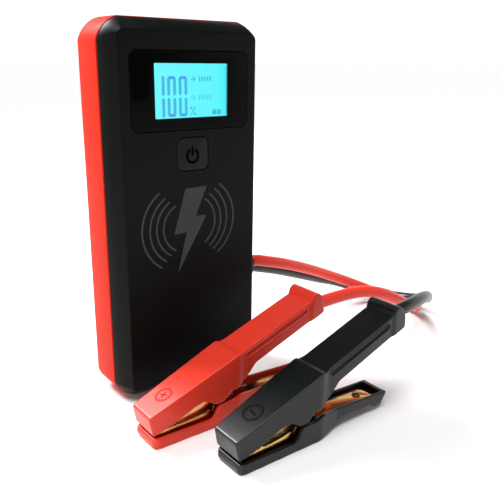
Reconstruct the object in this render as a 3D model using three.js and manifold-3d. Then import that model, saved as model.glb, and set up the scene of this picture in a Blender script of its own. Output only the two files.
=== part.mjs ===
// Jump starter pack: a slim battery pack that starts a car, with two clamps on short leads.
//
// Millimetres, +Z up. The pack stands on its end: its width runs along X, its depth along Y and its
// height along Z. The origin is the middle of the pack's bottom end. The display faces -Y. The leads
// leave the pack's right-hand side, loop round and end in two clamps that lie in front of the pack,
// with their jaws towards -X.

import * as THREE from 'three';
import { mergeVertices } from 'three/addons/utils/BufferGeometryUtils.js';
import Module from 'manifold-3d';

const wasm = await Module();
wasm.setup();

// ---------------------------------------------------------------- driving dimensions: the pack

const PACK_W = 90;
const PACK_H = 192;
const PACK_T = 31;
const FRONT_Y = -PACK_T / 2;
const BACK_Y = PACK_T / 2;
const GAP = 0.3; // clearance between pieces that touch

const CORNER_R = 11; // the case's corners, seen from the front
const EDGE_INSET = 6.1; // how far the front edge's slope comes in from the sides
const EDGE_DEPTH = 9; // how far that slope reaches back, to the seam
const SEAM_Y = FRONT_Y + EDGE_DEPTH;
const RIM_PROUD = 0.4; // the rear cover stands this proud of the front one at the seam
const WALL = 2;
const FRONT_WALL = 2.6;
const BACK_WALL = 2.2;

const WINDOW = { w: 67.1, h: 37.4, r: 4, t: 1.5, z: 158.5 };
const LCD = { w: 48, h: 31, t: 2.8, z: 158.6 };
const LCD_OPENING = { w: 44, h: 28 };
const BUTTON = { w: 18.1, h: 16.5, r: 4.6, z: 127.8, flange: 1.4 };
const COIL = { outer: 25, inner: 11, t: 2, z: 92 };
const BOARD = { w: 62, t: 1.6, bottom: 116, top: 184, y: -7.2 };
const CELL = { w: 61, h: 140, t: 5.4, z: 90, count: 3, y: -4.8 };
const SCREW = { x: 36, low: 12, high: 180, head: 2.6, shank: 1.3, boss: 3.3 };
const USB_A = { x: -18, w: 13, h: 5.6, length: 14, tongue: 1.8 };
const USB_C = { x: 2, w: 9, h: 3.4, length: 8, tongue: 0.8 };
const TORCH = { x: 22, y: 4.5, r: 5 };
const PORT_TOP = PACK_H - 0.4;

// ---------------------------------------------------------------- driving dimensions: the leads

const LEAD_R = 3.5;
const LEAD_SIDES = 8;
const LEAD_STEPS = 46;
const BOOT = { y: 6.8, z: 54.3, base: [14.8, 15.4], end: [14.2, 14.6], neck: [10.4, 10.8], out: 52.4 };

const RED_ROUTE = [
  [52.7, 3.8, 56.3], [57.5, 3.8, 56], [64, 3.9, 54.2], [80, 5.2, 49.3], [104, 8.7, 40.2], [126.5, 12.3, 30.6],
  [145.1, 13.5, 22.3], [163.2, 9.9, 13.8], [175.3, 1.3, 7.6], [181.3, -10, 4.3], [180.7, -21.8, 4.9],
  [173.4, -32, 9.2], [160.7, -40, 15.2], [146.9, -46.2, 21.4], [135.2, -50.1, 26.8], [123.9, -52.5, 32.8],
  [110.9, -53.2, 39.4], [98, -52.2, 43.6], [87, -50.9, 45], [76.8, -50, 45.1], [66, -49.6, 44.9],
  [59, -49.5, 44.6], [53, -49.5, 44.6], [45.5, -49.5, 44.6],
];
const BLACK_ROUTE = [
  [52.7, 9.2, 51], [57.5, 9.3, 50.7], [64, 9.6, 48.9], [80, 10.9, 43.8], [104, 14.4, 34.7], [127, 18.6, 25.7],
  [146.5, 21.8, 18.4], [164.3, 20.1, 11.2], [179.3, 12.4, 5.9], [189, -0.7, 4.1], [191.1, -14.7, 6.4],
  [186.2, -27.5, 11.5], [174.4, -39.1, 18], [160.6, -48.7, 24.3], [147.5, -57.7, 30.4], [136, -65.7, 35.8],
  [123.5, -74, 41.4], [111, -80.4, 45.6], [98, -85.2, 47.8], [87, -87.7, 48.4], [79, -88.3, 47.8],
  [73, -88.3, 46.9], [65.5, -88.3, 46],
];

// ---------------------------------------------------------------- driving dimensions: a clamp
// A clamp's own frame: X runs from the jaw tip to the handle end, Y is across it, Z is up from the
// surface that it lies on. Profiles are lists of [x, z].

const RED_CLAMP = [-51, -49.5];
const BLACK_CLAMP = [-31, -88.3];

const PIVOT = { x: 43, z: 14 };
const SLOPE = 0.375; // rise of the upper lever's top line
const BLOCK_TOP = 17.6; // height of that line over the tip
const BLOCK_END = 47.5; // where the wide jaw block steps down to the handle
const HANDLE_STEP = 1.2;
const HANDLE_END = 105;
const COVER_WALL = 2;
const TIP_HALF = 7.65;
const BLOCK_HALF = 10.2;
const HANDLE_HALF = 8.8;
const TRAY_HALF = 7.6;
const METAL = 1.2; // sheet thickness of the jaws
const JAW_HALF = 6.1; // outside of the jaw plates
const EAR_HALF = 4.6; // outside of the lower jaw's ears, which sit inside the upper jaw's
const EAR_R = 4.6;
const PIN_R = 1.9;
const RIVET_X = 82;
const NOTCH_HALF = LEAD_R + 0.4;

const LEVER_TILT = Math.atan(SLOPE);
const blockTop = (x) => BLOCK_TOP + SLOPE * x;
const handleTop = (x) => blockTop(x) - HANDLE_STEP;
const UPPER_RIVET_Z = handleTop(RIVET_X) - 4;

// ---------------------------------------------------------------- solids

/** A three.js geometry as a manifold solid. */
function toSolid(geometry) {
  const bare = geometry.index ? geometry.toNonIndexed() : geometry.clone();
  bare.deleteAttribute('normal');
  bare.deleteAttribute('uv');
  const merged = mergeVertices(bare, 1e-4);
  return new wasm.Manifold(new wasm.Mesh({
    numProp: 3,
    vertProperties: new Float32Array(merged.attributes.position.array),
    triVerts: new Uint32Array(merged.index.array),
  }));
}

/** A manifold solid as a three.js geometry. */
function toGeometry(solid) {
  const mesh = solid.getMesh();
  const geometry = new THREE.BufferGeometry();
  geometry.setAttribute('position', new THREE.BufferAttribute(mesh.vertProperties, 3));
  geometry.setIndex(new THREE.BufferAttribute(mesh.triVerts, 1));
  geometry.computeVertexNormals();
  return geometry;
}

const join = (first, ...rest) => rest.reduce((sum, solid) => sum.add(solid), first);
const cut = (first, ...tools) => tools.reduce((left, solid) => left.subtract(solid), first);

const AXES = {
  x: new THREE.Matrix4().makeBasis(
    new THREE.Vector3(0, 1, 0), new THREE.Vector3(0, 0, 1), new THREE.Vector3(1, 0, 0)),
  y: new THREE.Matrix4().makeBasis(
    new THREE.Vector3(1, 0, 0), new THREE.Vector3(0, 0, 1), new THREE.Vector3(0, -1, 0)),
  z: new THREE.Matrix4(),
};

/** The outline as a THREE.Shape, from a shape or a list of points. */
function asShape(outline) {
  if (outline instanceof THREE.Shape) return outline;
  return new THREE.Shape(outline.map(([a, b]) => new THREE.Vector2(a, b)));
}

/** An outline extruded along an axis, between two places on it. A quarter arc gets twice curveSegments. */
function prism(outline, axis, from, to, curveSegments = 3) {
  const geometry = new THREE.ExtrudeGeometry(asShape(outline), {
    depth: to - from, bevelEnabled: false, curveSegments,
  });
  geometry.translate(0, 0, axis === 'y' ? -to : from);
  geometry.applyMatrix4(AXES[axis]);
  return toSolid(geometry);
}

/** A box between two corners. */
function box(low, high) {
  const size = high.map((value, i) => value - low[i]);
  const geometry = new THREE.BoxGeometry(...size);
  geometry.translate(...low.map((value, i) => value + size[i] / 2));
  return toSolid(geometry);
}

/** A rod along an axis, between two places on it, centred on the other two coordinates. */
function rod(axis, from, to, centre, radius, sides = 20) {
  const shape = new THREE.Shape();
  shape.absarc(centre[0], centre[1], radius, 0, 2 * Math.PI);
  return prism(shape, axis, from, to, sides / 2);
}

/** A rounded rectangle, centred on a point. */
function roundedRect(width, height, radius, [cx, cy] = [0, 0]) {
  const [x, y] = [width / 2 - radius, height / 2 - radius];
  const shape = new THREE.Shape();
  shape.absarc(cx + x, cy - y, radius, -Math.PI / 2, 0);
  shape.absarc(cx + x, cy + y, radius, 0, Math.PI / 2);
  shape.absarc(cx - x, cy + y, radius, Math.PI / 2, Math.PI);
  shape.absarc(cx - x, cy - y, radius, Math.PI, 1.5 * Math.PI);
  shape.closePath();
  return shape;
}

/** A solid through rounded rectangles: each level is {at, w, h, r}, along an axis in rising order. */
function loft(levels, axis, centre, corner = 4) {
  const rings = levels.map(({ w, h, r }) => {
    const points = roundedRect(w, h, r, centre).getPoints(corner);
    return points.filter((p, i) => i === 0 || p.distanceTo(points[i - 1]) > 1e-6);
  });
  rings.forEach((ring) => {
    if (ring[0].distanceTo(ring[ring.length - 1]) < 1e-6) ring.pop();
  });
  const order = axis === 'y' ? [...levels.keys()].reverse() : [...levels.keys()];
  const sign = axis === 'y' ? -1 : 1;
  const n = rings[0].length;
  const positions = [];
  order.forEach((k) => rings[k].forEach((p) => positions.push(p.x, p.y, sign * levels[k].at)));
  const index = [];
  for (let k = 0; k + 1 < levels.length; k += 1) {
    for (let i = 0; i < n; i += 1) {
      const [a, b] = [k * n + i, k * n + (i + 1) % n];
      index.push(a, b, b + n, a, b + n, a + n);
    }
  }
  const last = levels.length - 1;
  positions.push(centre[0], centre[1], sign * levels[order[0]].at);
  positions.push(centre[0], centre[1], sign * levels[order[last]].at);
  const [floor, roof] = [levels.length * n, levels.length * n + 1];
  for (let i = 0; i < n; i += 1) {
    index.push(floor, (i + 1) % n, i);
    index.push(roof, last * n + i, last * n + (i + 1) % n);
  }
  const geometry = new THREE.BufferGeometry();
  geometry.setAttribute('position', new THREE.Float32BufferAttribute(positions, 3));
  geometry.setIndex(index);
  geometry.applyMatrix4(AXES[axis]);
  return toSolid(geometry);
}

/** A round tube along a smooth curve through points. */
function tube(points, radius, sides, steps) {
  const route = new THREE.CatmullRomCurve3(points.map((p) => new THREE.Vector3(...p)), false, 'centripetal');
  const ring = Array.from({ length: sides }, (_, i) => {
    const angle = 2 * Math.PI * i / sides;
    return new THREE.Vector2(radius * Math.cos(angle), radius * Math.sin(angle));
  });
  return new THREE.ExtrudeGeometry(new THREE.Shape(ring), { steps, extrudePath: route });
}

// ---------------------------------------------------------------- materials and nodes

const finish = (color, roughness, metalness = 0) =>
  new THREE.MeshStandardMaterial({ color, roughness, metalness });

const RED_CASE = finish(0xe8432c, 0.42);
const BLACK_CASE = finish(0x161616, 0.62);
const WINDOW_BLACK = finish(0x0c0c0c, 0.12);
const LCD_BLUE = finish(0x52eafc, 0.3);
const DIFFUSER = finish(0xeef3f5, 0.5);
const BUTTON_BLACK = finish(0x26282a, 0.5);
const BOARD_GREEN = finish(0x1d5a38, 0.55);
const CELL_SILVER = finish(0xb8bcc0, 0.35, 0.8);
const FOAM_GREY = finish(0x55585a, 0.95);
const COPPER = finish(0xb5713f, 0.35, 1);
const FERRITE = finish(0x2b2a29, 0.7);
const STEEL = finish(0xb9bcbf, 0.3, 1);
const BLACK_RUBBER = finish(0x1b1b1c, 0.7);
const CLEAR = finish(0xdfe8ea, 0.1);
const BRASS = finish(0xc39a55, 0.3, 1);
const RED_GRIP = finish(0xe0352a, 0.4);
const BLACK_GRIP = finish(0x26292d, 0.32);
const RED_JACKET = finish(0xe24a30, 0.45);
const BLACK_JACKET = finish(0x2a2c2f, 0.45);

const group = new THREE.Group();

/** A named sub-part in a group. */
function node(parent, name, shape, material) {
  const geometry = shape instanceof THREE.BufferGeometry ? shape : toGeometry(shape);
  const mesh = new THREE.Mesh(geometry, material);
  mesh.name = name;
  parent.add(mesh);
}

// ---------------------------------------------------------------- pack: case

const MIDDLE = [0, PACK_H / 2];

/** A level of the case's outline, set in from its sides by a distance. */
const outline = (at, inset) => ({
  at, w: PACK_W - 2 * inset, h: PACK_H - 2 * inset, r: Math.max(CORNER_R - inset, 3),
});

const SCREW_PLACES = [-SCREW.x, SCREW.x].flatMap((x) => [[x, SCREW.low], [x, SCREW.high]]);

function rearShell() {
  const outside = loft([
    outline(SEAM_Y + GAP, 0), outline(BACK_Y - 3, 0), outline(BACK_Y - 0.9, 0.9), outline(BACK_Y, 3),
  ], 'y', MIDDLE);
  const inside = loft([
    outline(SEAM_Y - 1, WALL), outline(BACK_Y - BACK_WALL - 1, WALL),
    outline(BACK_Y - BACK_WALL, WALL + 1),
  ], 'y', MIDDLE);
  const headSeat = BACK_Y - 3.2;
  const bosses = SCREW_PLACES.map((place) => rod('y', 2, BACK_Y - 1, place, SCREW.boss));
  const bores = SCREW_PLACES.flatMap((place) => [
    rod('y', 1, BACK_Y + 1, place, SCREW.shank + GAP),
    rod('y', headSeat, BACK_Y + 1, place, SCREW.head + GAP),
  ]);
  const end = [PACK_H - WALL - 1, PACK_H + 1];
  const portHole = ({ x, w, h }) =>
    prism(roundedRect(w + 2 * GAP, h + 2 * GAP, 1.2, [x, BOARD.y + BOARD.t + GAP + h / 2]), 'z', ...end);
  const torchHole = rod('z', ...end, [TORCH.x, TORCH.y], TORCH.r + GAP, 28);
  const [neckY, neckZ] = BOOT.neck;
  const bootHole = prism(
    roundedRect(neckY + 2 * GAP, neckZ + 2 * GAP, 3, [BOOT.y, BOOT.z]), 'x', PACK_W / 2 - 4, PACK_W / 2 + 1);
  const hollow = cut(outside, inside);
  return cut(join(hollow, ...bosses), ...bores, portHole(USB_A), portHole(USB_C), torchHole, bootHole);
}

function frontShell() {
  const slope = (share) => {
    const angle = share * Math.PI / 2;
    const soft = EDGE_INSET * (1 - Math.sin(angle));
    const straight = EDGE_INSET * (1 - share);
    return RIM_PROUD + (EDGE_INSET - RIM_PROUD) * (0.55 * soft + 0.45 * straight) / EDGE_INSET;
  };
  const outside = loft([0, 0.12, 0.3, 0.52, 0.76, 1].map((share) =>
    outline(FRONT_Y + share * EDGE_DEPTH, slope(share))), 'y', MIDDLE);
  const inside = loft([
    outline(FRONT_Y + FRONT_WALL, 7.2), outline(FRONT_Y + 6, 4.2), outline(SEAM_Y + 1, RIM_PROUD + WALL),
  ], 'y', MIDDLE);
  const lipOut = outline(0, WALL + GAP);
  const lipIn = outline(0, WALL + GAP + 1.2);
  const lip = cut(
    loft([{ ...lipOut, at: SEAM_Y - 2.4 }, { ...lipOut, at: SEAM_Y + 2 }], 'y', MIDDLE),
    loft([{ ...lipIn, at: SEAM_Y - 3 }, { ...lipIn, at: SEAM_Y + 3 }], 'y', MIDDLE));
  const bosses = SCREW_PLACES.map((place) => rod('y', FRONT_Y + 2, 1.7, place, SCREW.boss));
  const bores = SCREW_PLACES.map((place) => rod('y', -5.5, 2, place, SCREW.shank + GAP));
  const windowSeat = prism(
    roundedRect(WINDOW.w + 2 * GAP, WINDOW.h + 2 * GAP, WINDOW.r + GAP, [0, WINDOW.z]),
    'y', FRONT_Y - 1, FRONT_Y + WINDOW.t + GAP);
  const lcdOpening = prism(
    roundedRect(LCD_OPENING.w, LCD_OPENING.h, 1, [0, LCD.z]), 'y', FRONT_Y, FRONT_Y + FRONT_WALL + 1);
  const buttonHole = prism(
    roundedRect(BUTTON.w + 2 * GAP, BUTTON.h + 2 * GAP, BUTTON.r + GAP, [0, BUTTON.z]),
    'y', FRONT_Y - 1, FRONT_Y + FRONT_WALL + 1);
  const portRoom = box([-27, SEAM_Y + 0.5, PACK_H - 8], [9, SEAM_Y + 4, PACK_H - WALL]);
  const hollow = join(cut(outside, inside), cut(lip, portRoom), ...bosses);
  return cut(hollow, ...bores, windowSeat, lcdOpening, buttonHole);
}

function caseScrew([x, z]) {
  const headSeat = BACK_Y - 3.2 + GAP;
  const head = rod('y', headSeat, headSeat + 1.7, [x, z], SCREW.head, 18);
  const shank = rod('y', -4.5, headSeat + 0.1, [x, z], SCREW.shank, 10);
  const [arm, half] = [1.5, 0.4];
  const top = headSeat + 1.7;
  const slots = [
    box([x - arm, top - 1, z - half], [x + arm, top + 1, z + half]),
    box([x - half, top - 1, z - arm], [x + half, top + 1, z + arm]),
  ];
  return cut(join(head, shank), ...slots);
}

function makeCase() {
  node(group, 'rear_shell', rearShell(), RED_CASE);
  node(group, 'front_shell', frontShell(), BLACK_CASE);
  SCREW_PLACES.forEach((place, i) => node(group, `case_screw_${i + 1}`, caseScrew(place), STEEL));
}

// ---------------------------------------------------------------- pack: display and button

/** A rounded plate that faces the front, between two depths. */
const plate = ({ w, h, z }, radius, from, to) => prism(roundedRect(w, h, radius, [0, z]), 'y', from, to);

function makeDisplay() {
  const lcdFront = FRONT_Y + FRONT_WALL + GAP;
  const lcdBack = lcdFront + LCD.t;
  node(group, 'display_window', plate(WINDOW, WINDOW.r, FRONT_Y, FRONT_Y + WINDOW.t), WINDOW_BLACK);
  node(group, 'lcd_panel', plate(LCD, 0.5, lcdFront, lcdBack), LCD_BLUE);
  node(group, 'backlight', plate(LCD, 0.5, lcdBack + GAP, BOARD.y - GAP), DIFFUSER);
}

function makeButton() {
  const flangeFront = FRONT_Y + FRONT_WALL + GAP;
  const flangeBack = flangeFront + 1.2;
  const flange = { w: BUTTON.w + 2 * BUTTON.flange, h: BUTTON.h + 2 * BUTTON.flange, z: BUTTON.z };
  const cap = plate(BUTTON, BUTTON.r, FRONT_Y, flangeFront + 0.1);
  const post = rod('y', flangeBack - 0.1, flangeBack + 0.8, [0, BUTTON.z], 2, 12);
  node(group, 'power_button', join(cap, plate(flange, 5, flangeFront, flangeBack), post), BUTTON_BLACK);
  const body = box([-3, BOARD.y - GAP - 1.4, BUTTON.z - 3], [3, BOARD.y - GAP, BUTTON.z + 3]);
  const plunger = rod('y', BOARD.y - GAP - 2, BOARD.y - GAP - 1, [0, BUTTON.z], 1.6, 12);
  node(group, 'tact_switch', join(body, plunger), STEEL);
}

// ---------------------------------------------------------------- pack: electrics

function port({ x, w, h, length, tongue }, cornerRadius, wall) {
  const low = BOARD.y + BOARD.t + GAP;
  const centre = [x, low + h / 2];
  const [bottom, inside] = [PORT_TOP - length, PORT_TOP - length + 1.5];
  const shell = prism(roundedRect(w, h, cornerRadius, centre), 'z', bottom, PORT_TOP);
  const hollow = prism(
    roundedRect(w - 2 * wall, h - 2 * wall, cornerRadius * 0.7, centre), 'z', inside, PORT_TOP + 1);
  const blade = prism(
    roundedRect(w - 2.4, tongue, tongue * 0.3, [x, centre[1] - (h > 4 ? 0.9 : 0)]),
    'z', inside - 0.5, PORT_TOP - 1.2);
  return join(cut(shell, hollow), blade);
}

function makeElectrics() {
  const boardBack = BOARD.y + BOARD.t;
  const board = box([-BOARD.w / 2, BOARD.y, BOARD.bottom], [BOARD.w / 2, boardBack, BOARD.top]);
  const chip = box([-24, boardBack - 0.1, 166], [-14, boardBack + 1.4, 174]);
  const inductor = box([-9, boardBack - 0.1, 164], [3, boardBack + 3.2, 176]);
  node(group, 'main_board', join(board, chip, inductor), BOARD_GREEN);
  node(group, 'usb_a_port', port(USB_A, 0.8, 0.5), STEEL);
  node(group, 'usb_c_port', port(USB_C, 1.6, 0.4), STEEL);
  for (let i = 0; i < CELL.count; i += 1) {
    const y = CELL.y + i * (CELL.t + GAP);
    node(group, `cell_${i + 1}`, plate(CELL, 3, y, y + CELL.t), CELL_SILVER);
  }
  const foamFront = CELL.y + CELL.count * (CELL.t + GAP);
  node(group, 'cell_foam', plate({ w: 54, h: 120, z: CELL.z }, 4, foamFront, foamFront + 0.6), FOAM_GREY);

  const coilFront = FRONT_Y + FRONT_WALL + GAP;
  const coilBack = coilFront + COIL.t;
  const coil = cut(
    rod('y', coilFront, coilBack, [0, COIL.z], COIL.outer, 40),
    rod('y', coilFront - 1, coilBack + 1, [0, COIL.z], COIL.inner, 28));
  node(group, 'charge_coil', coil, COPPER);
  const ferrite = plate({ w: 54, h: 48, z: COIL.z - 3 }, 3, coilBack + GAP, coilBack + GAP + 1);
  node(group, 'coil_ferrite', ferrite, FERRITE);

  const tab = (y, z) => join(
    box([33.5, y - 1, z - 5], [41, y + 1, z + 5]),
    box([33.5, y - 2.6, z - 5], [35, y + 2.6, z + 5]));
  node(group, 'terminal_positive', tab(4, 55), COPPER);
  node(group, 'terminal_negative', tab(10, 53), COPPER);

  const lens = rod('z', PACK_H - 2.4, PACK_H, [TORCH.x, TORCH.y], TORCH.r, 28);
  const led = join(
    box([TORCH.x - 2.5, TORCH.y - 2.5, PACK_H - 6], [TORCH.x + 2.5, TORCH.y + 2.5, PACK_H - 4.6]),
    rod('z', PACK_H - 4.7, PACK_H - 3.2, [TORCH.x, TORCH.y], 1.8, 12));
  node(group, 'torch_lens', lens, CLEAR);
  node(group, 'torch_led', led, DIFFUSER);
}

// ---------------------------------------------------------------- leads

function makeLeads() {
  const side = PACK_W / 2;
  const body = loft([
    { at: side + GAP, w: BOOT.base[0], h: BOOT.base[1], r: 5.5 },
    { at: side + 2.5, w: BOOT.base[0], h: BOOT.base[1], r: 5.5 },
    { at: BOOT.out, w: BOOT.end[0], h: BOOT.end[1], r: 5.8 },
  ], 'x', [BOOT.y, BOOT.z]);
  const neck = prism(
    roundedRect(...BOOT.neck, 3 - GAP, [BOOT.y, BOOT.z]), 'x', side - WALL - 1.5, side + 1);
  node(group, 'lead_boot', join(body, neck), BLACK_RUBBER);
  node(group, 'red_lead', tube(RED_ROUTE, LEAD_R, LEAD_SIDES, LEAD_STEPS), RED_JACKET);
  node(group, 'black_lead', tube(BLACK_ROUTE, LEAD_R, LEAD_SIDES, LEAD_STEPS), BLACK_JACKET);
}

// ---------------------------------------------------------------- clamp

const FAR = 14; // half-width of a block that is then trimmed to a plan outline

/** A side profile as a block across the clamp. */
const across = (profile, half = FAR) => prism(profile, 'y', -half, half);

/** A plan outline that is the same on both sides of the clamp: a list of [x, half-width]. */
function plan(halves, low, high) {
  const other = [...halves].reverse().map(([x, y]) => [x, -y]);
  return prism([...halves.map(([x, y]) => [x, y]), ...other].reverse(), 'z', low, high);
}

/** Both copies of a side plate, between two distances from the middle. */
function plates(profile, inner, outer) {
  return join(prism(profile, 'y', inner, outer), prism(profile, 'y', -outer, -inner));
}

/** A rod in the clamp's middle plane, between two [x, z] points. */
function slantedRod([x1, z1], [x2, z2], radius, sides) {
  const run = new THREE.Vector3(x2 - x1, 0, z2 - z1);
  const geometry = new THREE.CylinderGeometry(radius, radius, run.length(), sides);
  geometry.applyQuaternion(new THREE.Quaternion().setFromUnitVectors(
    new THREE.Vector3(0, 1, 0), run.clone().normalize()));
  geometry.translate((x1 + x2) / 2, 0, (z1 + z2) / 2);
  return toSolid(geometry);
}

/** The hole for the upper lever's rivet, square to the lever, from a distance below it to one above. */
const upperRivetBore = (radius, below = 9, above = 9) => slantedRod(
  [RIVET_X + below * Math.sin(LEVER_TILT), UPPER_RIVET_Z - below * Math.cos(LEVER_TILT)],
  [RIVET_X - above * Math.sin(LEVER_TILT), UPPER_RIVET_Z + above * Math.cos(LEVER_TILT)], radius, 12);

/** Points on an arc round the pivot, in degrees. */
function pivotArc(radius, from, to, steps) {
  return Array.from({ length: steps + 1 }, (_, i) => {
    const angle = THREE.MathUtils.degToRad(from + (to - from) * i / steps);
    return [PIVOT.x + radius * Math.cos(angle), PIVOT.z + radius * Math.sin(angle)];
  });
}

function upperCover() {
  const profile = [
    [0, 6.9], [8, 11], [22, 16.4], [28, 16.4], [31, 13.5], [39, 13.6], [41.5, 16.2], [45.5, 17], [49, 17.6],
    [55.5, 22.7], [59.4, 27.1], [HANDLE_END, 45.2], [102.6, 55.9], [97.6, 55], [94.4, handleTop(94.4)],
    [BLOCK_END + 4, handleTop(BLOCK_END + 4)], [BLOCK_END, blockTop(BLOCK_END)], [-2, blockTop(-2)],
  ];
  const shape = across(profile).intersect(plan([
    [-3, TIP_HALF - 1.2], [-1, TIP_HALF], [BLOCK_END - 0.5, BLOCK_HALF], [BLOCK_END + 3.5, HANDLE_HALF],
    [95.5, HANDLE_HALF], [98, HANDLE_HALF + 0.3], [HANDLE_END + 1, HANDLE_HALF + 0.3],
  ], -1, 60));
  const roof = COVER_WALL + GAP;
  const channel = across([
    [2.2, -1], [96, -1], [96, handleTop(96) - roof], [BLOCK_END + 4, handleTop(BLOCK_END + 4) - roof],
    [BLOCK_END, blockTop(BLOCK_END) - roof], [2.2, blockTop(2.2) - roof],
  ]).intersect(plan([
    [1, TIP_HALF - 1.5], [BLOCK_END - 0.5, BLOCK_HALF - COVER_WALL], [BLOCK_END + 3.5, HANDLE_HALF - COVER_WALL],
    [97, HANDLE_HALF - COVER_WALL],
  ], -2, 60));
  const leadTop = 46.9;
  const notch = join(
    rod('x', 95, HANDLE_END + 2, [0, leadTop], NOTCH_HALF, 20),
    box([95, -NOTCH_HALF, 30], [HANDLE_END + 2, NOTCH_HALF, leadTop]));
  return cut(shape, channel, notch, upperRivetBore(2.6, 9, 2.9));
}

function lowerCover() {
  const profile = [
    [2.2, 0], [45.5, 0], [58.5, 3.6], [64, 5.6], [84.5, 4.6], [87.5, 2.3], [92.5, 2.5], [97, 8.6],
    [58, 11.1], [49.5, 12.8], [43.7, 11.5], [38, 12], [35.6, 10.8], [33.6, 6.4], [31.5, 4.8],
    [0.3, 5.4], [-0.4, 2.6], [0.4, 0.7],
  ];
  const shape = across(profile).intersect(plan([
    [-1, TIP_HALF - 1.6], [0.6, TIP_HALF + 0.3], [3, TIP_HALF + 0.9], [BLOCK_END, BLOCK_HALF],
    [60, TRAY_HALF], [96.2, TRAY_HALF], [98, TRAY_HALF - 1],
  ], -1, 20));
  const tray = across([
    [2.4, 2], [46, 2], [58.5, 5.5], [64, 7.4], [93.5, 5.9], [93.5, 30], [2.4, 30],
  ]).intersect(plan([
    [1, TIP_HALF - 1.1], [BLOCK_END, BLOCK_HALF - COVER_WALL], [60, TRAY_HALF - 1.5], [95, TRAY_HALF - 1.5],
  ], -1, 40));
  return cut(shape, tray, rod('z', 0, 10, [RIVET_X, 0], 1.5, 12));
}

/** The toothed edge where the jaws meet: heights for places along the jaw, shifted by a clearance. */
function biteLine(shift) {
  const teeth = Array.from({ length: 9 }, (_, i) => [3 + 1.6 * i, 7 + 0.05 * i + (i % 2 ? 0.9 : 0) + shift]);
  return [...teeth, [20, 7.5 + shift], [26, 8.1 + shift], [31, 8.9 + shift]];
}

function upperJaw() {
  const web = (x) => blockTop(x) - COVER_WALL - 2 * GAP - 0.1;
  const strip = (x) => handleTop(x) - COVER_WALL - 2 * GAP - 0.1;
  const side = [
    ...biteLine(GAP), ...pivotArc(EAR_R, 205, 335, 8), [49.5, 19], [53.5, 27], [51.5, 31.5], [3, web(3)],
  ];
  const sheet = [
    [3, web(3) - METAL], [50, web(50) - METAL - 0.6], [84, strip(84) - METAL],
    [84, strip(84)], [53, strip(53)], [BLOCK_END, web(BLOCK_END)], [3, web(3)],
  ];
  const top = across(sheet, JAW_HALF - 0.3);
  const bore = rod('y', -FAR, FAR, [PIVOT.x, PIVOT.z], PIN_R + GAP, 20);
  return cut(join(plates(side, JAW_HALF - METAL, JAW_HALF), top), bore, upperRivetBore(1.5));
}

function lowerJaw() {
  const front = [[3, 2.3], [34.5, 2.3], [34.5, 7], [31, 8.9], ...biteLine(0).reverse()];
  const ear = [[34, 2.3], [45.8, 2.3], [49.8, 3.6], ...pivotArc(EAR_R, 0, 180, 10), [36, 8]];
  const sheet = [
    [3, 2.3], [45.6, 2.3], [58.3, 5.9], [63.9, 7.75], [89, 6.45],
    [89, 7.55], [63.8, 8.85], [57.8, 7], [45.2, 3.5], [3, 3.5],
  ];
  const bottom = across(sheet, JAW_HALF - 1.2).add(
    prism([[3, 2.3], [34.5, 2.3], [34.5, 3.5], [3, 3.5]], 'y', -JAW_HALF, JAW_HALF));
  const bore = rod('y', -FAR, FAR, [PIVOT.x, PIVOT.z], PIN_R + GAP, 20);
  const rivetHole = rod('z', 0, 20, [RIVET_X, 0], 1.5, 12);
  return cut(
    join(plates(front, JAW_HALF - METAL, JAW_HALF), plates(ear, EAR_HALF - METAL, EAR_HALF), bottom),
    bore, rivetHole);
}

/** A round piece turned about Y or, tilted by an angle towards +X, about Z: points are [radius, place]. */
function turned(profile, axis, [x, y, z], sides = 20, tilt = 0) {
  const geometry = new THREE.LatheGeometry(profile.map(([r, t]) => new THREE.Vector2(r, t)), sides);
  if (axis === 'z') geometry.rotateX(Math.PI / 2);
  geometry.rotateY(tilt);
  geometry.translate(x, y, z);
  return toSolid(geometry);
}

function pivotPin() {
  const [shaft, head, end] = [JAW_HALF + GAP, 3, 7.5];
  return turned([
    [0, -end], [head - 0.4, -end], [head, -end + 0.4], [head, -shaft], [PIN_R, -shaft],
    [PIN_R, shaft], [head, shaft], [head, end - 0.4], [head - 0.4, end], [0, end],
  ], 'y', [PIVOT.x, 0, PIVOT.z]);
}

function spring() {
  const [turns, perTurn, coilR, wireR, reach] = [3.2, 12, 3.4, 0.65, 2.1];
  const start = THREE.MathUtils.degToRad(100);
  const count = Math.round(turns * perTurn);
  const coil = Array.from({ length: count + 1 }, (_, i) => {
    const share = i / count;
    const angle = start - 2 * Math.PI * turns * share;
    return [PIVOT.x + coilR * Math.cos(angle), -reach + 2 * reach * share, PIVOT.z + coilR * Math.sin(angle)];
  });
  const upperLeg = [[58, -reach, 33.1], [50, -reach, 22.5]];
  const lowerLeg = [[52, reach, 9.2], [61, reach, 9.4]];
  return tube([...upperLeg, ...coil, ...lowerLeg], wireR, 6, 50);
}

/** A rivet through a strip: half the thickness that it holds, and its tilt. */
const rivet = (z, half, tilt = 0) => turned([
  [0, -half - 0.9], [1.8, -half - 0.9], [2.2, -half], [1.2, -half],
  [1.2, half], [2.2, half], [1.8, half + 0.9], [0, half + 1.1],
], 'z', [RIVET_X, 0, z], 12, tilt);

function cableLug() {
  const top = (x) => handleTop(x) - COVER_WALL - 3 * GAP - 0.1 - METAL;
  const [start, end] = [87, 94.8];
  const axis = (x) => 45.2 - SLOPE * (end - x);
  const barrel = slantedRod([start, axis(start)], [end, axis(end)], 3.6, 14);
  const tongue = across([[76, top(76) - 1], [89, top(89) - 1], [89, top(89)], [76, top(76)]], 4);
  return cut(join(tongue, barrel), upperRivetBore(1.5));
}

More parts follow.
